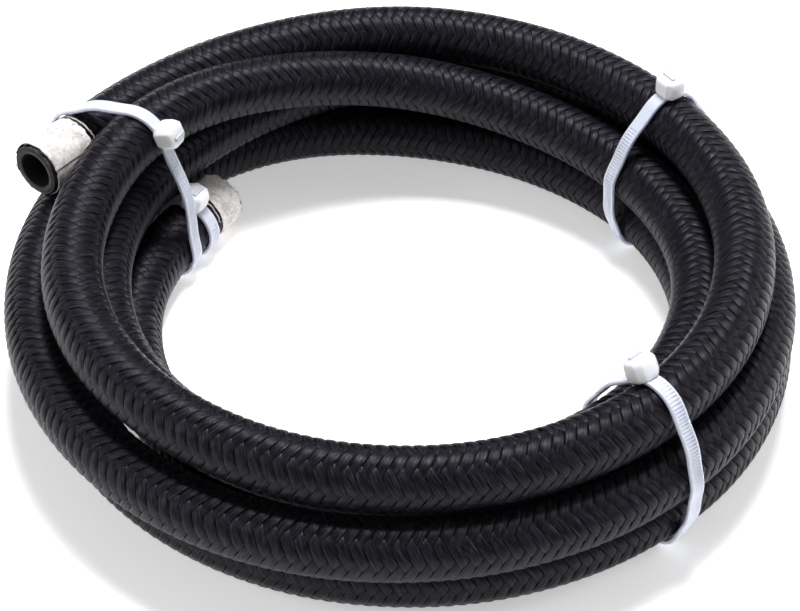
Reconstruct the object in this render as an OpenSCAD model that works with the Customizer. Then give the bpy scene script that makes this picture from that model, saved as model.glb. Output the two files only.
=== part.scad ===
// Coil of braided hydraulic hose, two taped cut ends, four moulded cable ties.
// Millimetres, +Z up. The coil lies on the plane z = 0 with its centre over
// the origin; the hose runs clockwise seen from above, from end 1 to end 2.

/* [Hose] */
// outside diameter of the braid cover
hose_od = 17; // [16.5:0.1:18]
// bore of the rubber liner
bore_d = 11.1; // [10.5:0.1:11.5]
// rubber liner wall
liner_wall = 2; // [1.6:0.1:2]
// tension braid between the liner and the cover
braid_wall = 0.4; // [0.3:0.05:0.4]
// straight length of hose at end 1
end_1_len = 31; // [27:1:33]
// straight length of hose at end 2
end_2_len = 20; // [19:1:22]

/* [End tapes] */
// width of the tape on end 1
tape_1_w = 15; // [10:0.5:15]
// width of the tape on end 2
tape_2_w = 10; // [8:0.5:10]
// thickness of one layer of tape
tape_t = 0.3; // [0.2:0.05:0.35]
// angle over which the tape laps itself
tape_lap = 45; // [20:5:90]

/* [Cable ties] */
// strap width
strap_w = 4.5; // [3.6:0.1:4.6]
// strap thickness
strap_t = 1.1; // [0.9:0.1:1.2]
// head size across the strap
head_w = 8.2; // [7.8:0.1:8.2]
// head size along the strap
head_l = 7.8; // [7.4:0.1:7.8]
// head height above the strap
head_h = 6; // [5.5:0.1:6.1]

/* [Coil] */
// which node to draw

/* [Hidden] */

rubber = [0.05, 0.05, 0.055];
polyester = [0.32, 0.32, 0.33];
nylon_black = [0.06, 0.06, 0.07];
nylon_clear = [0.86, 0.87, 0.9];
paper = [0.85, 0.83, 0.79];

hose_r = hose_od / 2;
bore_r = bore_d / 2;
liner_r = bore_r + liner_wall;
braid_r = liner_r + braid_wall;
k = hose_od / 17;      // the route is stated for a 17 mm hose
clear = 0.5;           // play of a strap round the bundle
clear_b = 0.3;         // play of the small tie on end 2
lift = strap_t + clear;  // the coil stands on the straps under it
centre = [1.8, -1.6];      // coil axis from the origin
plane_a = 155.5;       // angles of the upright planes of the ties
plane_c = 33.5;
plane_d = -49;
sides = 12;
a_start = 30;
a_end = 1830;
turns = 5;

// Route of the hose: radius and height of its centre line, one row every
// 30 degrees of winding, angle 0 on the left and 90 at the back. The hose
// follows the smooth curve that these rows pull (uniform cubic B-spline).
pass_1 = [[113, 41.5], [103.5, 41.5], [98.5, 42], [96.5, 43.5], [95, 42.5], [94, 42.5],
          [95, 43], [97, 42], [98.5, 42], [98.5, 41.5], [99, 42], [99, 45.5]];
pass_2 = [[92.5, 44.5], [87, 49], [80, 43], [81, 35], [81.5, 27.5], [83.5, 25.5],
          [85, 26], [84.5, 26], [84.5, 26], [85.5, 26], [86.5, 26], [87.5, 26]];
pass_3 = [[88, 27], [89, 26.5], [92, 25.5], [102, 25.5], [104, 26], [102, 25.5],
          [102.5, 26], [104.5, 26], [106, 25.5], [107.5, 25.5], [109.5, 25.5], [108.5, 26.5]];
pass_4 = [[106.5, 25.5], [107.5, 23.5], [112.5, 23], [111, 9], [107.5, 8.5], [106, 8.5],
          [104, 8.5], [103, 8.5], [101.5, 8.5], [101, 8.5], [101, 8.5], [100, 8.5]];
pass_5 = [[100, 8.5], [99, 8.5], [100, 8.5], [90, 8.5], [86.5, 8.5], [87.5, 8.5],
          [86.5, 8.5], [85.5, 8.5], [84.5, 8.5], [83, 8.5], [81.5, 8.5], [80.5, 8.5]];
pass_6 = [[80.5, 8.5], [79.5, 8.5], [78.5, 8.5]];
rows = concat(pass_1, pass_2, pass_3, pass_4, pass_5, pass_6);
last_row = len(rows) - 1;

function rz(a) = let (u = a / 30, i = min(floor(u + 0.000001), last_row - 1), t = u - i)
    (pow(1 - t, 3) * rows[i - 1]
     + (3 * pow(t, 3) - 6 * pow(t, 2) + 4) * rows[i]
     + (-3 * pow(t, 3) + 3 * pow(t, 2) + 3 * t + 1) * rows[i + 1]
     + pow(t, 3) * rows[min(i + 2, last_row)]) / 6;
function spot(a) = let (q = rz(a))
    [k * q[0] * cos(180 - a), k * q[0] * sin(180 - a), k * q[1] + lift];
function unit(v) = v / norm(v);
function flat(v) = [v[0], v[1], 0];
function heading(a) = a <= a_start ? unit(flat(spot(a_start + 1) - spot(a_start)))
                    : a >= a_end ? unit(flat(spot(a_end) - spot(a_end - 1)))
                    : unit(spot(a + 0.5) - spot(a - 0.5));

start_1 = spot(a_start);
dir_1 = -heading(a_start);      // towards the mouth of end 1
start_2 = spot(a_end);
dir_2 = heading(a_end);         // towards the mouth of end 2
function turn(v) = atan2(v[1], v[0]);

// The rings of one turn, in degrees after its start. One lies in the plane of
// each tie, so that the flats of the twelve-sided tube don't reach the strap.
at_c = 150 - plane_c;
at_d = 150 - plane_d;
at_a = 510 - plane_a;
turn_rings = concat([for (i = [0 : 7]) at_c * i / 8],
                    [for (i = [0 : 4]) at_c + (at_d - at_c) * i / 5],
                    [for (i = [0 : 10]) at_d + (at_a - at_d) * i / 11],
                    [at_a]);
function turn_angles(n) = [for (r = turn_rings) a_start + 360 * (n - 1) + r];
all_angles = concat([for (n = [1 : turns]) each turn_angles(n)], [a_end]);

// one ring of points round the centre line at winding angle a
function ring(a, r) = let (c = spot(a), t = heading(a),
                           n = unit([t[1], -t[0], 0]), b = cross(n, t))
    [for (j = [0 : sides - 1]) let (w = 360 * (j + 0.5) / sides)
        c + r * cos(w) * n + r * sin(w) * b];

module coil_layer(r_in, r_out, angles) {
    n = len(angles);
    outer = [for (a = angles) each ring(a, r_out)];
    inner = [for (a = angles) each ring(a, r_in)];
    m = n * sides;
    skin = [for (i = [0 : n - 2]) for (j = [0 : sides - 1])
        let (p = i * sides + j, q = i * sides + (j + 1) % sides)
        each [[p, q, p + sides], [q, q + sides, p + sides]]];
    core = [for (i = [0 : n - 2]) for (j = [0 : sides - 1])
        let (p = m + i * sides + j, q = m + i * sides + (j + 1) % sides)
        each [[p, p + sides, q], [q, p + sides, q + sides]]];
    first = [for (j = [0 : sides - 1]) let (q = (j + 1) % sides)
        each [[j, m + j, q], [q, m + j, m + q]]];
    e = (n - 1) * sides;
    final = [for (j = [0 : sides - 1]) let (q = (j + 1) % sides)
        each [[e + j, e + q, m + e + j], [e + q, m + e + q, m + e + j]]];
    polyhedron(points = concat(outer, inner),
               faces = concat(skin, core, first, final));
}

// places a child whose +Z is the hose axis, from the start of a straight end
module at_end(start, dir, along) {
    translate([centre[0], centre[1], 0] + start + along * dir)
        rotate([0, 0, turn(dir)]) rotate([0, 90, 0]) children();
}

module tube(r_in, r_out, length) {
    difference() {
        cylinder(r = r_out, h = length, $fn = 96);
        translate([0, 0, -1]) cylinder(r = r_in, h = length + 2, $fn = 96);
    }
}

module tape(width) {
    tube(hose_r, hose_r + tape_t, width);
    rotate([0, 0, 200]) rotate_extrude(angle = tape_lap, $fn = 96)
        translate([hose_r + tape_t - 0.05, 0]) square([tape_t + 0.05, width]);
}

module hose_liner() {
    color(rubber) translate([centre[0], centre[1], 0]) coil_layer(bore_r, liner_r, all_angles);
}
module hose_reinforcement() {
    color(polyester) translate([centre[0], centre[1], 0]) coil_layer(liner_r, braid_r, all_angles);
}
// the cover over about one turn of the coil; the fifth length starts on the
// far side of the mouth of end 2
cover_rings = [0, 25, 50, 75, 104, 125];
module hose_cover_turn(n) {
    color(nylon_black) translate([centre[0], centre[1], 0])
        coil_layer(braid_r, hose_r, [for (i = [cover_rings[n - 1] : cover_rings[n]]) all_angles[i]]);
}
module hose_cover_turn_1() { hose_cover_turn(1); }
module hose_cover_turn_2() { hose_cover_turn(2); }
module hose_cover_turn_3() { hose_cover_turn(3); }
module hose_cover_turn_4() { hose_cover_turn(4); }
module hose_cover_turn_5() { hose_cover_turn(5); }
module end_1_liner() {
    color(rubber) at_end(start_1, dir_1, 0) tube(bore_r, liner_r, end_1_len);
}
module end_1_reinforcement() {
    color(polyester) at_end(start_1, dir_1, 0) tube(liner_r, braid_r, end_1_len);
}
module end_1_cover() {
    color(nylon_black) at_end(start_1, dir_1, 0) tube(braid_r, hose_r, end_1_len);
}
module end_2_liner() {
    color(rubber) at_end(start_2, dir_2, 0) tube(bore_r, liner_r, end_2_len);
}
module end_2_reinforcement() {
    color(polyester) at_end(start_2, dir_2, 0) tube(liner_r, braid_r, end_2_len);
}
module end_2_cover() {
    color(nylon_black) at_end(start_2, dir_2, 0) tube(braid_r, hose_r, end_2_len);
}
module end_1_tape() {
    color(paper) at_end(start_1, dir_1, end_1_len - tape_1_w - 1) tape(tape_1_w);
}
module end_2_tape() {
    color(paper) at_end(start_2, dir_2, end_2_len - tape_2_w - 1) tape(tape_2_w);
}

// Cable ties. Each ties the bundle in the upright plane at one angle of the
// coil; x is the distance from the coil axis there and y is the height.
function cut(p) = [norm([p[0], p[1]]), p[2]];
// where the straight end 1 crosses the plane at angle w, with room for its slant
function end_1_cut(w) = let (n = [-sin(w), cos(w), 0], s = (start_1 * n) / (-dir_1 * n))
    cut(start_1 + s * dir_1) + [0.8, 0];
function passes(w) = [for (i = [0 : 5]) let (a = 180 - w + 360 * i)
    if (a >= a_start && a <= a_end) cut(spot(a))];
bundle_a = concat([end_1_cut(plane_a)], passes(plane_a));
bundle_c = passes(plane_c);
bundle_d = passes(plane_d);
// the pass that each head sits on, and its direction there
seat_a = bundle_a[1];
seat_c = bundle_c[0];
seat_d = bundle_d[0];
lean_a = 160;
lean_b = 105;
lean_c = 92;
lean_d = 121;
tie_b_along = 3.5;

module outline(bundle, r) {
    hull() for (p = bundle) translate(p) circle(r = r, $fn = 64);
}

// moulded loop of strap, seen in its own plane
module loop(bundle, gap) {
    linear_extrude(strap_w, center = true) difference() {
        outline(bundle, hose_r + gap + strap_t);
        outline(bundle, hose_r + gap);
    }
}

// head: +Z out of the bundle, +X along the strap
module head(foot) {
    c = 1.7;
    x0 = -3.4;
    x1 = head_l - 3.4;
    y1 = head_w / 2;
    difference() {
        intersection() {
            translate([0, 0, foot - 0.5]) linear_extrude(head_h + 0.5)
                polygon([[x0 + c, -y1], [x1 - c, -y1], [x1, c - y1], [x1, y1 - c],
                         [x1 - c, y1], [x0 + c, y1], [x0, y1 - c], [x0, c - y1]]);
            translate([0.2, 0, foot + head_h - 8]) sphere(r = 8, $fn = 96);
        }
        // way of the tail through the head
        translate([-1, -strap_w / 2 - 0.35, foot - 1]) cube([1.7, strap_w + 0.7, head_h + 3]);
        // pocket of the pawl
        translate([0.6, -1.6, foot + 0.4]) cube([1.9, 3.2, head_h + 3]);
    }
    // tail of the strap, trimmed just above the head
    translate([-0.75, -strap_w / 2, foot - 0.6]) cube([strap_t, strap_w, head_h + 1]);
}

// pawl with its teeth towards the tail; it turns about its foot
module pawl(foot) {
    rotate([90, 0, 0]) linear_extrude(2.6, center = true)
        polygon([[1.05, foot + 0.6], [1.75, foot + 0.6], [1.8, foot + 3.2], [1.3, foot + 4],
                 [0.75, foot + 4], [1, foot + 3.5], [0.75, foot + 3.3], [1, foot + 2.8],
                 [0.75, foot + 2.6], [1, foot + 2.1]]);
}

// into the upright plane at angle w: x out from the coil axis, y up
module in_plane(w) {
    translate([centre[0], centre[1], 0]) rotate([0, 0, w]) rotate([90, 0, 0]) children();
}
// onto a pass in that plane, +Z pointing out of it at the lean angle
module on_pass(seat, lean) {
    translate([seat[0], seat[1], 0]) rotate([0, 0, lean - 90]) rotate([-90, 0, 0]) children();
}

foot = hose_r + clear + strap_t;
foot_b = hose_r + clear_b + strap_t;

module bundle_tie(w, bundle, seat, lean) {
    in_plane(w) {
        loop(bundle, clear);
        on_pass(seat, lean) head(foot);
    }
}
module bundle_pawl(w, seat, lean) {
    in_plane(w) on_pass(seat, lean) pawl(foot);
}
// the small tie stands square on the straight end 2
module on_end_2() {
    at_end(start_2, dir_2, tie_b_along) rotate([0, 0, 90]) children();
}

module cable_tie_a() {
    color(nylon_clear) bundle_tie(plane_a, bundle_a, seat_a, lean_a);
}
module cable_tie_b() {
    color(nylon_clear) on_end_2() {
        translate([0, 0, -strap_w / 2])
            tube(hose_r + clear_b, hose_r + clear_b + strap_t, strap_w);
        on_pass([0, 0], lean_b) head(foot_b);
    }
}
module cable_tie_c() {
    color(nylon_clear) bundle_tie(plane_c, bundle_c, seat_c, lean_c);
}
module cable_tie_d() {
    color(nylon_clear) bundle_tie(plane_d, bundle_d, seat_d, lean_d);
}
module tie_a_pawl() {
    color(nylon_clear) bundle_pawl(plane_a, seat_a, lean_a);
}
module tie_b_pawl() {
    color(nylon_clear) on_end_2() on_pass([0, 0], lean_b) pawl(foot_b);
}
module tie_c_pawl() {
    color(nylon_clear) bundle_pawl(plane_c, seat_c, lean_c);
}
module tie_d_pawl() {
    color(nylon_clear) bundle_pawl(plane_d, seat_d, lean_d);
}

hose_liner();
hose_reinforcement();
hose_cover_turn_1();
hose_cover_turn_2();
hose_cover_turn_3();
hose_cover_turn_4();
hose_cover_turn_5();
end_1_liner();
end_1_reinforcement();
end_1_cover();
end_2_liner();
end_2_reinforcement();
end_2_cover();
end_1_tape();
end_2_tape();
cable_tie_a();
cable_tie_b();
cable_tie_c();
cable_tie_d();
tie_a_pawl();
tie_b_pawl();
tie_c_pawl();
tie_d_pawl();
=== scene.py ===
import math
import bpy
import numpy as np
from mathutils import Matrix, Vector


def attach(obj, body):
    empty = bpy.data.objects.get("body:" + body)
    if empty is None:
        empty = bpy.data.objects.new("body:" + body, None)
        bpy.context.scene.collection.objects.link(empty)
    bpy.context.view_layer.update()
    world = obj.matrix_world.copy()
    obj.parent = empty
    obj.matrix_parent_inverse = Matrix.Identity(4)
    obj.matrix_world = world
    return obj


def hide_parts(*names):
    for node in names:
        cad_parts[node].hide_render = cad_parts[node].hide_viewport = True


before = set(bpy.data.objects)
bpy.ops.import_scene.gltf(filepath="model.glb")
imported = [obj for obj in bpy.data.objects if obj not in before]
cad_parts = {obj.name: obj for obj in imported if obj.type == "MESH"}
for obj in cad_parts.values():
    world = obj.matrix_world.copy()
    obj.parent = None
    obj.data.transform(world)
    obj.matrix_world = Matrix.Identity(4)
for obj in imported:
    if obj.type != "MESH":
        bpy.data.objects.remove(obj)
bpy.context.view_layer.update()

MM = 0.001
scene = bpy.context.scene

# ---------------------------------------------------------------- camera
ELEV = math.radians(41.4)
TARGET = Vector((-0.0002, -0.0101, 0.0222))
DIST = 0.6467
cam_data = bpy.data.cameras.new("camera")
cam_data.lens = 100.9
cam_data.sensor_width = 36.0
cam_data.sensor_fit = "HORIZONTAL"
cam_data.clip_start = 0.01
cam_data.clip_end = 20.0
camera = bpy.data.objects.new("camera", cam_data)
scene.collection.objects.link(camera)
camera.location = TARGET + DIST * Vector((0, -math.cos(ELEV), math.sin(ELEV)))
camera.rotation_euler = (TARGET - camera.location).to_track_quat("-Z", "Y").to_euler()
scene.camera = camera

# ---------------------------------------------------------------- route
HOSE_R = 8.5
CENTRE = np.array([1.8, -1.6, 0.0])
LIFT = 1.6
A0, A1 = 30.0, 1830.0
END_1, END_2 = 31.0, 20.0
# radius and height of the centre line every 30 degrees of winding, in mm
ROWS = np.array([
    [113, 41.5], [103.5, 41.5], [98.5, 42], [96.5, 43.5], [95, 42.5], [94, 42.5],
    [95, 43], [97, 42], [98.5, 42], [98.5, 41.5], [99, 42], [99, 45.5],
    [92.5, 44.5], [87, 49], [80, 43], [81, 35], [81.5, 27.5], [83.5, 25.5],
    [85, 26], [84.5, 26], [84.5, 26], [85.5, 26], [86.5, 26], [87.5, 26],
    [88, 27], [89, 26.5], [92, 25.5], [102, 25.5], [104, 26], [102, 25.5],
    [102.5, 26], [104.5, 26], [106, 25.5], [107.5, 25.5], [109.5, 25.5], [108.5, 26.5],
    [106.5, 25.5], [107.5, 23.5], [112.5, 23], [111, 9], [107.5, 8.5], [106, 8.5],
    [104, 8.5], [103, 8.5], [101.5, 8.5], [101, 8.5], [101, 8.5], [100, 8.5],
    [100, 8.5], [99, 8.5], [100, 8.5], [90, 8.5], [86.5, 8.5], [87.5, 8.5],
    [86.5, 8.5], [85.5, 8.5], [84.5, 8.5], [83, 8.5], [81.5, 8.5], [80.5, 8.5],
    [80.5, 8.5], [79.5, 8.5], [78.5, 8.5]], float)


def rz(a):
    a = np.asarray(a, float)
    u = a / 30.0
    last = len(ROWS) - 1
    i = np.clip(np.floor(u + 1e-6).astype(int), 1, last - 1)
    t = (u - i)[..., None]
    return ((1 - t) ** 3 * ROWS[i - 1] + (3 * t ** 3 - 6 * t ** 2 + 4) * ROWS[i]
            + (-3 * t ** 3 + 3 * t ** 2 + 3 * t + 1) * ROWS[i + 1]
            + t ** 3 * ROWS[np.minimum(i + 2, last)]) / 6


def spot(a):
    """A point of the centre line, from the coil's own axis, in mm."""
    q = rz(a)
    w = np.radians(180 - np.asarray(a, float))
    return np.stack([q[..., 0] * np.cos(w), q[..., 0] * np.sin(w), q[..., 1] + LIFT], -1)


def level(v):
    v = np.array([v[0], v[1], 0.0])
    return v / np.linalg.norm(v)


START_1 = spot(A0)
DIR_1 = -level(spot(A0 + 1) - spot(A0))
START_2 = spot(A1)
DIR_2 = level(spot(A1) - spot(A1 - 1))

_a = np.arange(A0, A1 + 0.01, 0.2)
_coil = spot(_a)
_end1 = START_1 + DIR_1 * np.arange(END_1, 0.05, -0.25)[:, None]
_end2 = START_2 + DIR_2 * np.arange(0.25, END_2 + 0.01, 0.25)[:, None]
LINE = np.vstack([_end1, _coil, _end2]) + CENTRE
ARC = np.concatenate([[0], np.cumsum(np.linalg.norm(np.diff(LINE, axis=0), axis=1))])
LENGTH = float(ARC[-1])
_u = np.arange(0, LENGTH, 0.5)
_p = np.stack([np.interp(_u, ARC, LINE[:, c]) for c in range(3)], -1)
_t = np.gradient(_p, axis=0)
_k = np.ones(9) / 9
_t = np.stack([np.convolve(np.pad(_t[:, c], 4, mode="edge"), _k, mode="valid") for c in range(3)], -1)
_t /= np.linalg.norm(_t, axis=1)[:, None]


def hose_frame(s):
    """Centre, tangent, inward level normal and upward normal at arc length s, in mm."""
    c = np.stack([np.interp(s, ARC, LINE[:, j]) for j in range(3)], -1)
    t = np.stack([np.interp(s, _u, _t[:, j]) for j in range(3)], -1)
    t /= np.linalg.norm(t, axis=-1)[..., None]
    n = np.stack([t[..., 1], -t[..., 0], np.zeros_like(t[..., 0])], -1)
    n /= np.linalg.norm(n, axis=-1)[..., None]
    b = np.cross(n, t)
    return c, t, n, b


def on_hose(s, theta, r):
    c, t, n, b = hose_frame(s)
    return c + (r * np.cos(theta))[..., None] * n + (r * np.sin(theta))[..., None] * b


# ---------------------------------------------------------------- mesh help
def mesh_object(name, verts, faces, uv=None, smooth=True, mat=None):
    """verts in mm; faces an (n, 4) array of quads or a list of faces."""
    me = bpy.data.meshes.new(name)
    verts = np.ascontiguousarray(np.asarray(verts, float) * MM)
    if isinstance(faces, np.ndarray) and faces.ndim == 2:
        n, m = faces.shape
        me.vertices.add(len(verts))
        me.vertices.foreach_set("co", verts.ravel())
        me.loops.add(n * m)
        me.loops.foreach_set("vertex_index", faces.ravel().astype(np.int32))
        me.polygons.add(n)
        me.polygons.foreach_set("loop_start", np.arange(0, n * m, m, dtype=np.int32))
        me.polygons.foreach_set("loop_total", np.full(n, m, dtype=np.int32))
        me.update(calc_edges=True)
        idx = faces.ravel()
    else:
        me.from_pydata(verts.tolist(), [], [list(map(int, f)) for f in faces])
        me.update()
        idx = np.zeros(len(me.loops), dtype=np.int32)
        me.loops.foreach_get("vertex_index", idx)
    if uv is not None:
        layer = me.uv_layers.new(name="UVMap")
        layer.data.foreach_set("uv", np.asarray(uv, float)[idx].ravel())
    if smooth:
        me.polygons.foreach_set("use_smooth", np.ones(len(me.polygons), dtype=bool))
    me.validate()
    ob = bpy.data.objects.new(name, me)
    scene.collection.objects.link(ob)
    if mat is not None:
        me.materials.append(mat)
    return ob


def grid_faces(rows, cols, closed_cols=True, flip=False):
    i = np.arange(rows - 1)[:, None]
    j = np.arange(cols if closed_cols else cols - 1)[None, :]
    a = i * cols + j
    b = i * cols + (j + 1) % cols
    c = (i + 1) * cols + (j + 1) % cols
    d = (i + 1) * cols + j
    f = np.stack([a, b, c, d], -1).reshape(-1, 4)
    return f[:, ::-1] if flip else f


# ---------------------------------------------------------------- materials
def new_mat(name):
    m = bpy.data.materials.new(name)
    m.use_nodes = True
    nt = m.node_tree
    return m, nt, nt.nodes["Principled BSDF"]


def node(nt, kind, **inputs):
    n = nt.nodes.new(kind)
    for key, val in inputs.items():
        if key in n.inputs:
            n.inputs[key].default_value = val
        else:
            setattr(n, key, val)
    return n


def link(nt, a, b):
    nt.links.new(a, b)


def ramp(nt, src, stops):
    r = nt.nodes.new("ShaderNodeValToRGB")
    els = r.color_ramp.elements
    while len(els) < len(stops):
        els.new(0.5)
    for e, (p, c) in zip(els, stops):
        e.position = p
        e.color = (c[0], c[1], c[2], 1)
    link(nt, src, r.inputs["Fac"])
    return r


def mapping(nt, src, scale):
    m = nt.nodes.new("ShaderNodeMapping")
    m.inputs["Scale"].default_value = scale
    link(nt, src, m.inputs["Vector"])
    return m


def braid_material(name, base, dark, light, rough, gloss, strands=13.0):
    m, nt, p = new_mat(name)
    uv = nt.nodes.new("ShaderNodeTexCoord")
    streak = node(nt, "ShaderNodeTexNoise", Scale=1.0, Detail=2.0, Roughness=0.6)
    link(nt, mapping(nt, uv.outputs["UV"], (strands, 0.55, 1)).outputs["Vector"], streak.inputs["Vector"])
    fine = node(nt, "ShaderNodeTexNoise", Scale=1.0, Detail=1.0, Roughness=0.5)
    link(nt, mapping(nt, uv.outputs["UV"], (strands * 3, 1.3, 1)).outputs["Vector"], fine.inputs["Vector"])
    blotch = node(nt, "ShaderNodeTexNoise", Scale=420.0, Detail=3.0)
    tc = nt.nodes.new("ShaderNodeTexCoord")
    link(nt, tc.outputs["Object"], blotch.inputs["Vector"])
    add = node(nt, "ShaderNodeMath", operation="MULTIPLY_ADD")
    link(nt, streak.outputs["Fac"], add.inputs[0])
    add.inputs[1].default_value = 0.65
    add2 = node(nt, "ShaderNodeMath", operation="MULTIPLY_ADD")
    link(nt, fine.outputs["Fac"], add2.inputs[0])
    add2.inputs[1].default_value = 0.35
    add2.inputs[2].default_value = 0.0
    link(nt, add2.outputs[0], add.inputs[2])
    # Colour along the yarn streaks: the dark and base stops are random tone of the filaments; the light stop is a
    # painted highlight, streaks of violet-tinted sheen laid into the colour along the yarns
    col = ramp(nt, add.outputs[0], [(0.36, dark), (0.50, base), (0.56, tuple(0.6 * b + 0.4 * l for b, l in zip(base, light))), (0.66, light)])
    mix = node(nt, "ShaderNodeMix", data_type="RGBA", blend_type="MULTIPLY")
    mix.inputs["Factor"].default_value = 0.6
    link(nt, col.outputs["Color"], mix.inputs[6])
    shade = ramp(nt, blotch.outputs["Fac"], [(0.35, (0.55, 0.55, 0.55)), (0.65, (1, 1, 1))])
    link(nt, shade.outputs["Color"], mix.inputs[7])
    link(nt, mix.outputs[2], p.inputs["Base Color"])
    rr = ramp(nt, add.outputs[0], [(0.3, (rough + 0.14,) * 3), (0.7, (rough - 0.1,) * 3)])
    link(nt, rr.outputs["Color"], p.inputs["Roughness"])
    bump = node(nt, "ShaderNodeBump", Strength=1.0, Distance=0.00016)
    link(nt, add.outputs[0], bump.inputs["Height"])
    link(nt, bump.outputs["Normal"], p.inputs["Normal"])
    p.inputs["Specular IOR Level"].default_value = gloss
    p.inputs["Specular Tint"].default_value = (0.96, 0.92, 1.0, 1)
    p.inputs["Sheen Weight"].default_value = 0.01
    p.inputs["Sheen Roughness"].default_value = 0.4
    p.inputs["Sheen Tint"].default_value = (0.75, 0.75, 0.9, 1)
    return m


def rubber_material():
    m, nt, p = new_mat("liner_rubber")
    tc = nt.nodes.new("ShaderNodeTexCoord")
    n1 = node(nt, "ShaderNodeTexNoise", Scale=900.0, Detail=4.0, Roughness=0.6)
    link(nt, tc.outputs["Object"], n1.inputs["Vector"])
    n2 = node(nt, "ShaderNodeTexNoise", Scale=160.0, Detail=3.0)
    link(nt, tc.outputs["Object"], n2.inputs["Vector"])
    c = ramp(nt, n2.outputs["Fac"], [(0.3, (0.0035, 0.0035, 0.004)), (0.7, (0.010, 0.010, 0.011))])
    link(nt, c.outputs["Color"], p.inputs["Base Color"])
    r = ramp(nt, n1.outputs["Fac"], [(0.3, (0.55,) * 3), (0.7, (0.75,) * 3)])
    link(nt, r.outputs["Color"], p.inputs["Roughness"])
    p.inputs["Specular IOR Level"].default_value = 0.3
    b = node(nt, "ShaderNodeBump", Strength=0.4, Distance=0.0001)
    link(nt, n1.outputs["Fac"], b.inputs["Height"])
    link(nt, b.outputs["Normal"], p.inputs["Normal"])
    return m


def tape_material():
    m, nt, p = new_mat("paper_tape")
    tc = nt.nodes.new("ShaderNodeTexCoord")
    fib = node(nt, "ShaderNodeTexNoise", Scale=1.0, Detail=5.0, Roughness=0.65)
    link(nt, mapping(nt, tc.outputs["UV"], (60, 14, 1)).outputs["Vector"], fib.inputs["Vector"])
    stain = node(nt, "ShaderNodeTexNoise", Scale=260.0, Detail=5.0, Roughness=0.7)
    link(nt, tc.outputs["Object"], stain.inputs["Vector"])
    speck = node(nt, "ShaderNodeTexNoise", Scale=900.0, Detail=2.0, Roughness=0.5)
    link(nt, tc.outputs["Object"], speck.inputs["Vector"])
    base = ramp(nt, fib.outputs["Fac"], [(0.25, (0.60, 0.56, 0.54)), (0.5, (0.80, 0.77, 0.74)), (0.8, (0.90, 0.88, 0.85))])
    st = ramp(nt, stain.outputs["Fac"], [(0.40, (0.50, 0.47, 0.45)), (0.52, (0.95, 0.94, 0.93)), (0.7, (1, 1, 1))])
    mx = node(nt, "ShaderNodeMix", data_type="RGBA", blend_type="MULTIPLY")
    mx.inputs["Factor"].default_value = 0.7
    link(nt, base.outputs["Color"], mx.inputs[6])
    link(nt, st.outputs["Color"], mx.inputs[7])
    sp = ramp(nt, speck.outputs["Fac"], [(0.70, (1, 1, 1)), (0.735, (0.12, 0.11, 0.11))])
    mx2 = node(nt, "ShaderNodeMix", data_type="RGBA", blend_type="MULTIPLY")
    mx2.inputs["Factor"].default_value = 1.0
    link(nt, mx.outputs[2], mx2.inputs[6])
    link(nt, sp.outputs["Color"], mx2.inputs[7])
    link(nt, mx2.outputs[2], p.inputs["Base Color"])
    r = ramp(nt, stain.outputs["Fac"], [(0.3, (0.7,) * 3), (0.7, (0.9,) * 3)])
    link(nt, r.outputs["Color"], p.inputs["Roughness"])
    b = node(nt, "ShaderNodeBump", Strength=0.5, Distance=0.00015)
    link(nt, fib.outputs["Fac"], b.inputs["Height"])
    link(nt, b.outputs["Normal"], p.inputs["Normal"])
    return m


def nylon_material(name, base, trans, rough, sss):
    m, nt, p = new_mat(name)
    tc = nt.nodes.new("ShaderNodeTexCoord")
    n1 = node(nt, "ShaderNodeTexNoise", Scale=180.0, Detail=3.0)
    link(nt, tc.outputs["Object"], n1.inputs["Vector"])
    c = ramp(nt, n1.outputs["Fac"], [(0.3, tuple(0.93 * v for v in base)), (0.7, base)])
    link(nt, c.outputs["Color"], p.inputs["Base Color"])
    n2 = node(nt, "ShaderNodeTexNoise", Scale=1500.0, Detail=3.0)
    link(nt, tc.outputs["Object"], n2.inputs["Vector"])
    r = ramp(nt, n2.outputs["Fac"], [(0.3, (rough - 0.06,) * 3), (0.7, (rough + 0.08,) * 3)])
    link(nt, r.outputs["Color"], p.inputs["Roughness"])
    b = node(nt, "ShaderNodeBump", Strength=0.10, Distance=0.00006)
    link(nt, n2.outputs["Fac"], b.inputs["Height"])
    link(nt, b.outputs["Normal"], p.inputs["Normal"])
    p.inputs["Subsurface Weight"].default_value = sss
    p.inputs["Subsurface Radius"].default_value = (1.0, 1.0, 1.1)
    p.inputs["Subsurface Scale"].default_value = 0.0012
    p.inputs["Transmission Weight"].default_value = trans
    p.inputs["IOR"].default_value = 1.5
    return m


def floor_material():
    m, nt, p = new_mat("floor_paper")
    p.inputs["Base Color"].default_value = (0.93, 0.93, 0.93, 1)
    p.inputs["Emission Color"].default_value = (1.0, 1.0, 1.0, 1)
    p.inputs["Emission Strength"].default_value = 0.45
    p.inputs["Roughness"].default_value = 0.9
    return m


# Yarn colours: own black base, darker random tone, and a lighter painted-highlight colour for the streaks along the
# yarns
BRAID = braid_material("nylon_braid", (0.0030, 0.0025, 0.0036), (0.0010, 0.0008, 0.0013), (0.046, 0.042, 0.060), 0.31, 0.14)
TENSION = braid_material("tension_braid", (0.055, 0.055, 0.058), (0.02, 0.02, 0.021), (0.12, 0.12, 0.125), 0.65, 0.3)
RUBBER = rubber_material()
TAPE = tape_material()
# The strap nylon's lavender grey is partly its own tint and partly painted shade: darkened for the shaded back strap
# and for the black hose behind the thin strap. The head nylon is near white
NYLON = nylon_material("clear_nylon", (0.66, 0.69, 0.80), 0.08, 0.34, 0.55)
NYLON_HEAD = nylon_material("clear_nylon_thick", (0.92, 0.92, 0.93), 0.05, 0.34, 0.7)

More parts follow.
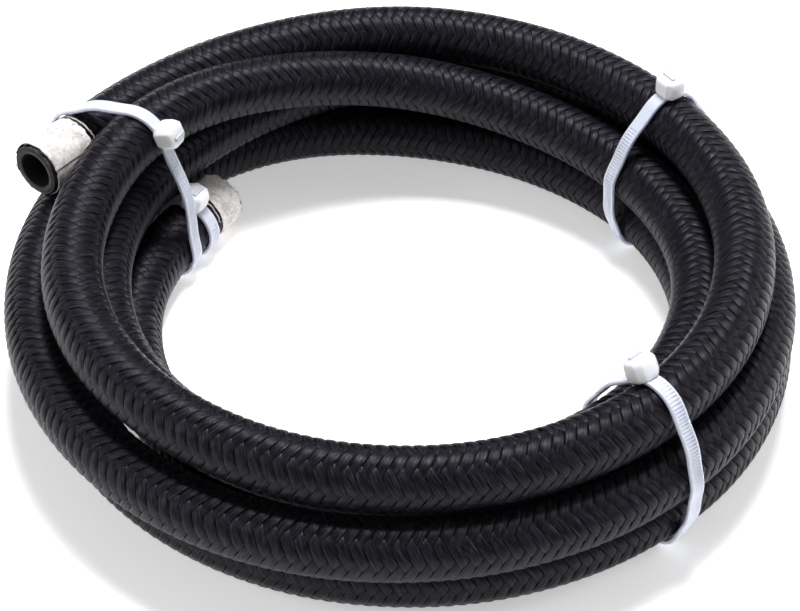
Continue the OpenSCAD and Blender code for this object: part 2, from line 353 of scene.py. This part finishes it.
# ---------------------------------------------------------------- hose
def hose_tube(name, r_in, r_out, pitch, sides, mat, edge=0.25):
    """A whole length of tube, both walls, with softened cut edges."""
    n = int(LENGTH / pitch)
    s = np.linspace(0, LENGTH, n)
    th = np.arange(sides) * 2 * math.pi / sides
    S, T = np.meshgrid(s, th, indexing="ij")
    out = np.full_like(S, r_out)
    out[0] -= edge
    out[-1] -= edge
    inn = np.full_like(S, r_in)
    inn[0] += edge * 0.6
    inn[-1] += edge * 0.6
    S2 = S.copy()
    S2[1], S2[-2] = edge, LENGTH - edge
    vo = on_hose(S2, T, out).reshape(-1, 3)
    vi = on_hose(S2, T, inn).reshape(-1, 3)
    fo = grid_faces(n, sides, flip=True)
    fi = grid_faces(n, sides, flip=False) + len(vo)
    j = np.arange(sides)
    a, b = j, (j + 1) % sides
    cap0 = np.stack([a, b, len(vo) + b, len(vo) + a], -1)
    e = (n - 1) * sides
    cap1 = np.stack([e + b, e + a, len(vo) + e + a, len(vo) + e + b], -1)
    uv = np.stack([T / (2 * math.pi) * 24, S / 3.0], -1).reshape(-1, 2)
    uv = np.vstack([uv, uv])
    return mesh_object(name, np.vstack([vo, vi]), np.vstack([fo, fi, cap0, cap1]), uv, True, mat)


liner = hose_tube("hose_liner_tube", 5.55, 7.5, 3.2, 36, RUBBER, 0.2)
tension = hose_tube("hose_tension_braid", 7.5, 7.85, 3.2, 36, TENSION, 0.08)

# Herringbone braid: 8 yarns each way, each over two and under two.
LEAD = 26.8
THETA0 = math.radians(0.0)
PHI = np.array([-1.0, -0.8, -0.55, -0.2, 0.2, 0.55, 0.8, 1.0, 1.2, 1.55, 2.0, 2.45, 2.8])
R_MID, R_WAVE = 8.05, 0.30
CROSS_V = np.array([-0.5, -0.44, -0.31, -0.11, 0.11, 0.31, 0.44, 0.5, 0.25, -0.25])
CROSS_H = np.array([-0.02, 0.12, 0.23, 0.285, 0.285, 0.23, 0.12, -0.02, -0.12, -0.12])


def yarn(name, index, way):
    k1 = int(16 * LENGTH / LEAD / 4) + 12
    k0, k1 = (-6, k1) if way > 0 else (-k1, 6)
    x = (np.arange(k0, k1)[:, None] * 4.0 + PHI[None, :] + (0.5 if way > 0 else 2.5)).ravel()
    # x counts angular crossings; p is the progress along the hose
    p = x - index if way > 0 else -x - index
    p = np.sort(p)
    lo, hi = index + 0.5, index - 0.5 + 16 * LENGTH / LEAD
    p = p[(p > lo + 0.05) & (p < hi - 0.05)]
    p = np.concatenate([[lo], p, [hi]])
    x = (p + index) if way > 0 else -(p + index)
    phi = np.mod(x - (0.5 if way > 0 else 2.5) + 2, 4) - 2
    wave = np.cos(np.pi * phi / 2)
    mid = R_MID + R_WAVE * np.sign(wave) * np.abs(wave) ** 0.75
    rows, cols = len(p), len(CROSS_V)
    P = np.repeat(p[:, None], cols, 1)
    V = np.repeat(CROSS_V[None, :], rows, 0)
    # slight unevenness of each float
    wob = 0.018 * np.sin(P * 1.7 + index * 2.1) + 0.012 * np.sin(P * 0.61 + index)
    R = mid[:, None] + CROSS_H[None, :] + wob * (CROSS_H > 0)[None, :]
    S = np.clip(LEAD * (P - index - V) / 16, 0, LENGTH)
    T = way * 2 * math.pi * (P + index + V) / 16 + THETA0
    v = on_hose(S, T, R).reshape(-1, 3)
    f = grid_faces(rows, cols, flip=(way < 0))
    uv = np.stack([V + 0.5 + index, P], -1).reshape(-1, 2)
    caps = [list(range(cols)), [(rows - 1) * cols + c for c in range(cols - 1, -1, -1)]]
    if way < 0:
        caps = [c[::-1] for c in caps]
    ob = mesh_object(name, v, f, uv, True, BRAID)
    return ob


yarns = []
for i in range(8):
    yarns.append(yarn("braid_yarn_right_%d" % (i + 1), i, 1))
    yarns.append(yarn("braid_yarn_left_%d" % (i + 1), i, -1))

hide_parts("hose_liner", "end_1_liner", "end_2_liner")
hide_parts("hose_reinforcement", "end_1_reinforcement", "end_2_reinforcement")
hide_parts("end_1_cover", "end_2_cover", *["hose_cover_turn_%d" % (i + 1) for i in range(5)])
for y in [liner, tension] + yarns:
    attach(y, "hose")
path_s = np.arange(0, LENGTH, 6.0)
path = np.stack([np.interp(path_s, ARC, LINE[:, c]) for c in range(3)], -1) * MM
path = np.vstack([path, LINE[-1] * MM])

# ---------------------------------------------------------------- loose filaments
def hairs(name, curves, radius, mat):
    """Fine three-sided filaments, each a row of points in mm."""
    vs, fs, base = [], [], 0
    for c in curves:
        n = len(c)
        t = np.gradient(c, axis=0)
        t /= np.linalg.norm(t, axis=1)[:, None]
        a = np.cross(t, [0.31, 0.52, 0.79])
        a /= np.linalg.norm(a, axis=1)[:, None]
        b = np.cross(t, a)
        taper = radius * np.linspace(1.0, 0.55, n)[:, None]
        ring = [c + taper * (math.cos(w) * a + math.sin(w) * b) for w in (0, 2.0944, 4.1888)]
        vs.append(np.stack(ring, 1).reshape(-1, 3))
        fs.append(grid_faces(n, 3) + base)
        fs.append(np.array([[0, 2, 1, 1]]) + base)
        fs.append(np.array([[3 * n - 3, 3 * n - 2, 3 * n - 1, 3 * n - 1]]) + base)
        base += 3 * n
    quads = [f for g in fs for f in g.tolist()]
    faces = [f if f[2] != f[3] else f[:3] for f in quads]
    return mesh_object(name, np.vstack(vs), faces, np.zeros((base, 2)), True, mat)


hair_rng = np.random.default_rng(21)
curves = []
for k in range(420):
    s0 = hair_rng.uniform(25, LENGTH - 20)
    th0 = hair_rng.uniform(0, 2 * math.pi)
    run = hair_rng.uniform(1.0, 3.4)
    way = hair_rng.choice([-1, 1])
    q = np.linspace(0, 1, 6)
    ang = way * run * 0.105 * q + 0.03 * np.sin(5 * q + k)
    lift = 8.53 + hair_rng.uniform(0.05, 0.5) * np.sin(np.pi * q * hair_rng.uniform(0.5, 1.0)) * hair_rng.uniform(0.3, 1)
    curves.append(on_hose(s0 + run * 0.45 * q, th0 + ang, lift))
fuzz = hairs("loose_filaments", curves, 0.035, BRAID)
fray = []
for k in range(300):
    mouth = k % 2 == 0
    th0 = hair_rng.uniform(0, 2 * math.pi)
    q = np.linspace(0, 1, 5)
    out = hair_rng.uniform(0.25, 1.1)
    r0 = hair_rng.uniform(8.0, 8.5)
    bend = hair_rng.normal(0, 0.25)
    end = LINE[0] if mouth else LINE[-1]
    s0 = 0.0 if mouth else LENGTH
    c, t, n, b = hose_frame(np.full(5, s0))
    along = (-1 if mouth else 1) * (out * q - 0.4)
    th = th0 + bend * q * out / 4
    r = r0 + hair_rng.normal(0, 0.12) * q
    fray.append(c + along[:, None] * t + (r * np.cos(th))[:, None] * n + (r * np.sin(th))[:, None] * b)
rim = hairs("cut_braid_filaments", fray, 0.05, BRAID)
for h in (fuzz, rim):
    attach(h, "hose")

# ---------------------------------------------------------------- tapes
rng = np.random.default_rng(7)


def smooth_noise(n, seed, width):
    r = np.random.default_rng(seed).normal(size=n)
    k = np.hanning(width)
    k /= np.sqrt((k ** 2).sum())
    return np.convolve(np.concatenate([r[-width:], r, r[:width]]), k, mode="same")[width:-width]


def tape_piece(name, s_mouth, s_far, lap_at, seed, slant):
    """Wrap of tape from arc length s_mouth to s_far, lapped at angle lap_at."""
    rows, cols = 44, 220
    th = np.linspace(0, 2 * math.pi, cols, endpoint=False)
    u = np.linspace(0, 1, rows)
    lo = s_mouth + 0.16 * smooth_noise(cols, seed, 7) * 0.6
    hi = s_far + 0.25 * smooth_noise(cols, seed + 1, 9) * 0.7 + slant * np.cos(th - 1.1)
    S = lo[None, :] + (hi - lo)[None, :] * u[:, None]
    T = np.repeat(th[None, :], rows, 0)
    lap = np.mod(th - lap_at, 2 * math.pi)
    step = np.where(lap < math.radians(45), 0.26, 0.0) * (1 - 0.3 * lap / math.radians(45) * (lap < math.radians(45)))
    wr = np.zeros((rows, cols))
    for k in range(7):
        f1, f2 = rng.integers(2, 9), rng.uniform(1, 5)
        ph, ph2 = rng.uniform(0, 6.28), rng.uniform(0, 6.28)
        wr += 0.030 * np.sin(f1 * T + f2 * u[:, None] * 3 + ph) * np.sin(f2 * 2 * u[:, None] + ph2)
    fine = np.random.default_rng(seed + 3).normal(size=(rows, cols)) * 0.012
    R = HOSE_R + 0.10 + 0.14 + step[None, :] + wr + fine
    R[0] -= 0.10
    R[-1] -= 0.10
    inner = np.full_like(R, HOSE_R + 0.02)
    vo = on_hose(S, T, R).reshape(-1, 3)
    vi = on_hose(S, T, inner).reshape(-1, 3)
    fo = grid_faces(rows, cols, flip=True)
    fi = grid_faces(rows, cols, flip=False) + len(vo)
    j = np.arange(cols)
    a, b = j, (j + 1) % cols
    cap0 = np.stack([a, b, len(vo) + b, len(vo) + a], -1)
    e = (rows - 1) * cols
    cap1 = np.stack([e + b, e + a, len(vo) + e + a, len(vo) + e + b], -1)
    uv = np.stack([T / (2 * math.pi), np.repeat(u[:, None], cols, 1)], -1).reshape(-1, 2)
    return mesh_object(name, np.vstack([vo, vi]), np.vstack([fo, fi, cap0, cap1]), np.vstack([uv, uv]), True, TAPE)


def tape_sliver(name, s_at, t0, t1, width, seed):
    """Thin torn strip of tape lying on the braid."""
    cols = 90
    th = np.linspace(t0, t1, cols)
    w = width * np.sin(np.linspace(0.05, math.pi - 0.05, cols)) ** 0.4
    mid = s_at + 0.25 * np.sin(th * 2.3) + 0.12 * np.random.default_rng(seed).normal(size=cols)
    rows = []
    for k, (ds, dr) in enumerate([(-0.5, 0.03), (-0.3, 0.20), (0.3, 0.22), (0.5, 0.03)]):
        rows.append(on_hose(mid + ds * w, th, np.full(cols, HOSE_R + dr)))
    v = np.stack(rows, 1).reshape(-1, 3)
    f = grid_faces(cols, 4, closed_cols=True)
    caps = np.array([[0, 1, 2, 3], [4 * cols - 1, 4 * cols - 2, 4 * cols - 3, 4 * cols - 4]])
    return mesh_object(name, v, np.vstack([f, caps]), np.zeros((len(v), 2)), True, TAPE)


tape_1 = tape_piece("end_1_tape_wrap", 1.0, 15.8, math.radians(20), 3, 0.9)
tape_2 = tape_piece("end_2_tape_wrap", LENGTH - 10.8, LENGTH - 1.0, math.radians(150), 11, 0.35)
sliver_1 = tape_sliver("end_1_tape_torn_edge", 17.9, math.radians(20), math.radians(200), 0.7, 5)
sliver_2 = tape_sliver("end_2_tape_torn_edge", LENGTH - 12.3, math.radians(10), math.radians(220), 0.6, 6)
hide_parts("end_1_tape")
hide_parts("end_2_tape")
for t in (tape_1, tape_2, sliver_1, sliver_2):
    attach(t, "hose")

# ---------------------------------------------------------------- cable ties
CLEAR, CLEAR_B, STRAP_T, STRAP_W = 0.5, 0.3, 1.1, 4.5


def cut(p):
    return np.array([math.hypot(p[0], p[1]), p[2]])


def passes(w):
    return [cut(spot(180 - w + 360 * i)) for i in range(6) if A0 <= 180 - w + 360 * i <= A1]


def end_1_cut(w):
    n = np.array([-math.sin(math.radians(w)), math.cos(math.radians(w)), 0])
    s = (START_1 @ n) / (-DIR_1 @ n)
    return cut(START_1 + s * DIR_1) + np.array([0.8, 0.0])


def hull_path(circles, r, per=180):
    """Outline of the hull of circles of radius r, as closed points."""
    pts = []
    for c in circles:
        for k in range(per):
            w = 2 * math.pi * k / per
            pts.append((c[0] + r * math.cos(w), c[1] + r * math.sin(w)))
    pts = sorted(set((round(x, 6), round(y, 6)) for x, y in pts))

    def half(seq):
        h = []
        for q in seq:
            while len(h) >= 2 and ((h[-1][0] - h[-2][0]) * (q[1] - h[-2][1])
                                   - (h[-1][1] - h[-2][1]) * (q[0] - h[-2][0])) <= 0:
                h.pop()
            h.append(q)
        return h
    lower, upper = half(pts), half(pts[::-1])
    h = np.array(lower[:-1] + upper[:-1])
    return h


def bowed(h):
    """The outline as a stiff strap takes it: bowed out over its flats, with easy bends."""
    c = np.vstack([h, h[:1]])
    d = np.diff(c, axis=0)
    ln = np.hypot(*d.T)
    s = np.concatenate([[0], np.cumsum(ln)])
    n = int(s[-1] / 0.25)
    u = np.linspace(0, s[-1], n, endpoint=False)
    p = np.stack([np.interp(u, s, c[:, 0]), np.interp(u, s, c[:, 1])], -1)
    seg = np.clip(np.searchsorted(s, u, side="right") - 1, 0, len(d) - 1)
    t = (u - s[seg]) / ln[seg]
    out = np.stack([d[:, 1], -d[:, 0]], -1) / ln[:, None]
    rise = np.where((ln > 4) & (out[:, 1] > -0.6), np.minimum(0.07 * ln, 2.4), 0.0)
    p = p + (rise[seg] * np.sin(np.pi * t) ** 2)[:, None] * out[seg]
    w = int(9.0 / 0.25) | 1
    k = np.hanning(w + 2)[1:-1]
    k /= k.sum()
    q = np.stack([np.convolve(np.concatenate([p[-w:, j], p[:, j], p[:w, j]]), k, mode="same")[w:-w]
                  for j in range(2)], -1)
    tg = np.roll(q, -3, axis=0) - np.roll(q, 3, axis=0)
    tg /= np.hypot(*tg.T)[:, None]
    q = q + 0.22 * np.stack([tg[:, 1], -tg[:, 0]], -1)
    return q


def resample(h, n, start):
    """n points round a closed convex outline, starting nearest to start, with normals."""
    d = np.hypot(*(h - start).T)
    h = np.roll(h, -int(d.argmin()), axis=0)
    c = np.vstack([h, h[:1]])
    s = np.concatenate([[0], np.cumsum(np.hypot(*np.diff(c, axis=0).T))])
    u = np.linspace(0, s[-1], n, endpoint=False)
    p = np.stack([np.interp(u, s, c[:, 0]), np.interp(u, s, c[:, 1])], -1)
    t = np.roll(p, -2, axis=0) - np.roll(p, 2, axis=0)
    t /= np.hypot(*t.T)[:, None]
    return p, np.stack([t[:, 1], -t[:, 0]], -1), s[-1]


def strap(name, outline, start, place, body, smooth_run=(0.0, 0.12)):
    """Moulded strap: toothed outer face, plain near its root."""
    length = np.hypot(*np.diff(np.vstack([outline, outline[:1]]), axis=0).T).sum()
    teeth = int(length / 0.95)
    per = 6
    n = teeth * per
    p, m, _ = resample(outline, n, start)
    k = np.arange(n)
    saw = (k % per) / per
    tooth = np.where(saw < 0.34, 0.0, np.where(saw < 0.5, 1.0, 1.0 - (saw - 0.5) * 0.9))
    frac = k / n
    plain = (frac > smooth_run[0]) & (frac < smooth_run[1])
    depth = np.where(plain, 0.0, 0.24) * (1 - tooth)
    half = STRAP_W / 2
    xs = np.array([-half + 0.12, half - 0.12, half, half, half - 0.18, 1.56, 1.44, -1.44, -1.56, -half + 0.18, -half, -half])
    ys = np.array([0.0, 0.0, 0.14, STRAP_T - 0.2, STRAP_T, STRAP_T, STRAP_T, STRAP_T, STRAP_T, STRAP_T, STRAP_T - 0.2, 0.14])
    toothy = np.array([0, 0, 0, 0, 0, 0, 1, 1, 0, 0, 0, 0], float)
    Y = ys[None, :] - depth[:, None] * toothy[None, :]
    X = np.repeat(xs[None, :], n, 0)
    # plane coordinates: p (2), outward m (2), width along plane z
    pl = np.stack([p[:, None, 0] + m[:, None, 0] * Y, p[:, None, 1] + m[:, None, 1] * Y, X], -1)
    v = place(pl.reshape(-1, 3))
    cols = len(xs)
    i = np.arange(n)[:, None]
    j = np.arange(cols)[None, :]
    a = i * cols + j
    b = i * cols + (j + 1) % cols
    c = ((i + 1) % n) * cols + (j + 1) % cols
    d = ((i + 1) % n) * cols + j
    f = np.stack([a, d, c, b], -1).reshape(-1, 4)
    ob = mesh_object(name, v, f, None, False, NYLON)
    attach(ob, body)
    return ob


def head_mesh(name, seat, lean, foot, place, body):
    """Rounded, domed head with the tail's slot, in the tie's plane."""
    rows = 16
    x0, x1, y1 = -3.4, 4.4, 4.1
    cx, ax = (x0 + x1) / 2, (x1 - x0) / 2
    cols = 48
    w = np.arange(cols) * 2 * math.pi / cols
    e = 0.42
    ux = np.sign(np.cos(w)) * np.abs(np.cos(w)) ** e
    uy = np.sign(np.sin(w)) * np.abs(np.sin(w)) ** e
    nrm = np.maximum(np.abs(ux) + np.abs(uy), 1.0)
    lim = 1.52
    ux, uy = ux / np.maximum(nrm / lim, 1), uy / np.maximum(nrm / lim, 1)
    prof = [(-0.7, 0.86), (-0.3, 0.93), (0.3, 0.985), (1.2, 1.0), (2.4, 1.0), (3.5, 0.995), (4.3, 0.965),
            (4.85, 0.90), (5.2, 0.80), (5.48, 0.64), (5.62, 0.45), (5.7, 0.24)]
    ring = []
    for z, kx in prof:
        ring.append(np.stack([cx + ax * kx * ux, y1 * kx * uy, np.full(cols, foot + z)], -1))
    v = np.vstack(ring)
    n = len(prof)
    f = [list(q) for q in grid_faces(n, cols, flip=False)]
    f.append(list(range(cols))[::-1])
    f.append([(n - 1) * cols + c for c in range(cols)])
    ob = mesh_object(name, v, f, None, True, NYLON_HEAD)
    cutters = []
    for lo, hi in (((-0.84, -2.34, foot + 0.6), (0.44, 2.34, foot + 8)), ((0.4, -1.6, foot + 0.35), (2.5, 1.6, foot + 4.7))):
        q = np.array([[x, y, z] for x in (lo[0], hi[0]) for y in (lo[1], hi[1]) for z in (lo[2], hi[2])])
        fc = [[0, 1, 3, 2], [4, 6, 7, 5], [0, 4, 5, 1], [2, 3, 7, 6], [0, 2, 6, 4], [1, 5, 7, 3]]
        cu = mesh_object("cutter", q, fc, None, False, None)
        cutters.append(cu)
        mod = ob.modifiers.new("slot", "BOOLEAN")
        mod.operation = "DIFFERENCE"
        mod.solver = "EXACT"
        mod.object = cu
    dg = bpy.context.evaluated_depsgraph_get()
    me = bpy.data.meshes.new_from_object(ob.evaluated_get(dg))
    ob.modifiers.clear()
    ob.data = me
    for cu in cutters:
        bpy.data.objects.remove(cu, do_unlink=True)
    co = np.zeros(len(me.vertices) * 3)
    me.vertices.foreach_get("co", co)
    co = co.reshape(-1, 3) / MM
    me.vertices.foreach_set("co", (place(to_plane(co, seat, lean)) * MM).ravel())
    me.update()
    me.materials.clear()
    me.materials.append(NYLON_HEAD)
    ob.data.polygons.foreach_set("use_smooth", np.ones(len(me.polygons), dtype=bool))
    me.set_sharp_from_angle(angle=math.radians(38))
    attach(ob, body)
    # trimmed tail standing in the slot
    xs, ys, zt = (-0.75, 0.35), (-2.25, 2.25), foot + 6.05
    prof2 = [(foot - 0.6, 1.0), (foot + 5.85, 1.0), (zt, 0.95)]
    tv = []
    for z, kx in prof2:
        for sx, sy in ((0, 0), (1, 0), (1, 1), (0, 1)):
            tv.append([(-0.2) + (xs[sx] + 0.2) * kx, ys[sy] * kx, z + (0.12 if (sx and z == zt) else 0)])
    tf = [list(q) for q in grid_faces(3, 4)]
    tf += [[3, 2, 1, 0], [8, 9, 10, 11]]
    tail = mesh_object(name.replace("head", "tail"), place(to_plane(np.array(tv), seat, lean)), tf, None, False, NYLON)
    bv = tail.modifiers.new("bevel", "BEVEL")
    bv.width = 0.00012
    bv.segments = 2
    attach(tail, body)
    return ob, tail


def to_plane(v, seat, lean):
    """Head coordinates (x along the strap, y across, z outwards) to plane coordinates."""
    w = math.radians(lean - 90)
    x, y, z = v[:, 0], v[:, 1], v[:, 2]
    px = x * math.cos(w) - z * math.sin(w)
    py = x * math.sin(w) + z * math.cos(w)
    return np.stack([seat[0] + px, seat[1] + py, -y], -1)


def upright(w):
    W = math.radians(w)

    def place(v):
        # plane x outwards, plane y up, plane z square to the plane
        x, y, z = v[:, 0], v[:, 1], v[:, 2]
        q = np.stack([x, -z, y], -1)
        return np.stack([q[:, 0] * math.cos(W) - q[:, 1] * math.sin(W),
                         q[:, 0] * math.sin(W) + q[:, 1] * math.cos(W), q[:, 2]], -1) + CENTRE
    return place


def square_on_end_2(v):
    x, y, z = -v[:, 1], v[:, 0], v[:, 2]
    x, y, z = z, y, -x
    T = math.atan2(DIR_2[1], DIR_2[0])
    q = np.stack([x * math.cos(T) - y * math.sin(T), x * math.sin(T) + y * math.cos(T), z], -1)
    return q + CENTRE + START_2 + 3.5 * DIR_2


def outward(lean):
    return np.array([math.cos(math.radians(lean)), math.sin(math.radians(lean))])


for key, w, bundle, pick, lean, run in (
        ("a", 155.5, [end_1_cut(155.5)] + passes(155.5), 1, 160, (0.84, 1.0)),
        ("c", 33.5, passes(33.5), 0, 92, (0.0, 0.10)),
        ("d", -49.0, passes(-49.0), 0, 121, (0.0, 0.10))):
    seat = bundle[pick]
    place = upright(w)
    line = bowed(hull_path(bundle, HOSE_R + CLEAR))
    line[:, 1] = np.maximum(line[:, 1], STRAP_T)
    body = "tie_" + key
    st = strap("tie_%s_strap" % key, line, seat + outward(lean) * (HOSE_R + CLEAR), place, body, run)
    hd, tl = head_mesh("tie_%s_head" % key, seat, lean, HOSE_R + CLEAR + STRAP_T, place, body)
    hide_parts("cable_tie_" + key)

line = hull_path([np.zeros(2)], HOSE_R + CLEAR_B)
st = strap("tie_b_strap", line, outward(105) * (HOSE_R + CLEAR_B), square_on_end_2, "tie_b", (0.0, 0.15))
hd, tl = head_mesh("tie_b_head", np.zeros(2), 105, HOSE_R + CLEAR_B + STRAP_T, square_on_end_2, "tie_b")
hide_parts("cable_tie_b")

for key in "abcd":
    ob = bpy.data.objects.get("tie_%s_pawl" % key)
    if ob is not None:
        for sl in ob.material_slots:
            sl.link = "OBJECT"
            sl.material = NYLON_HEAD

# ---------------------------------------------------------------- floor and light
bpy.ops.mesh.primitive_plane_add(size=6.0, location=(0, 0, 0))
floor = bpy.context.object
floor.name = "studio_floor"
floor.data.materials.append(floor_material())

world = bpy.data.worlds.new("studio")
scene.world = world
world.use_nodes = True
bg = world.node_tree.nodes["Background"]
bg.inputs["Color"].default_value = (1.0, 1.0, 1.0, 1)
bg.inputs["Strength"].default_value = 0.26


def area(name, loc, aim, size, power, color=(1, 1, 1)):
    ld = bpy.data.lights.new(name, "AREA")
    ld.shape = "RECTANGLE"
    ld.size, ld.size_y = size
    ld.energy = power
    ld.color = color
    ob = bpy.data.objects.new(name, ld)
    scene.collection.objects.link(ob)
    ob.location = loc
    ob.rotation_euler = (Vector(aim) - Vector(loc)).to_track_quat("-Z", "Y").to_euler()
    return ob


area("softbox_top", (0.05, 0.26, 1.08), (0, 0, 0), (0.34, 0.28), 17.0, (0.96, 0.97, 1.0))
area("softbox_left", (-0.95, -0.25, 0.55), (0, 0, 0.02), (0.45, 0.45), 2.6)
area("softbox_right", (1.0, 0.1, 0.6), (0, 0, 0.02), (0.45, 0.45), 2.6)
scene.view_settings.view_transform = "Standard"
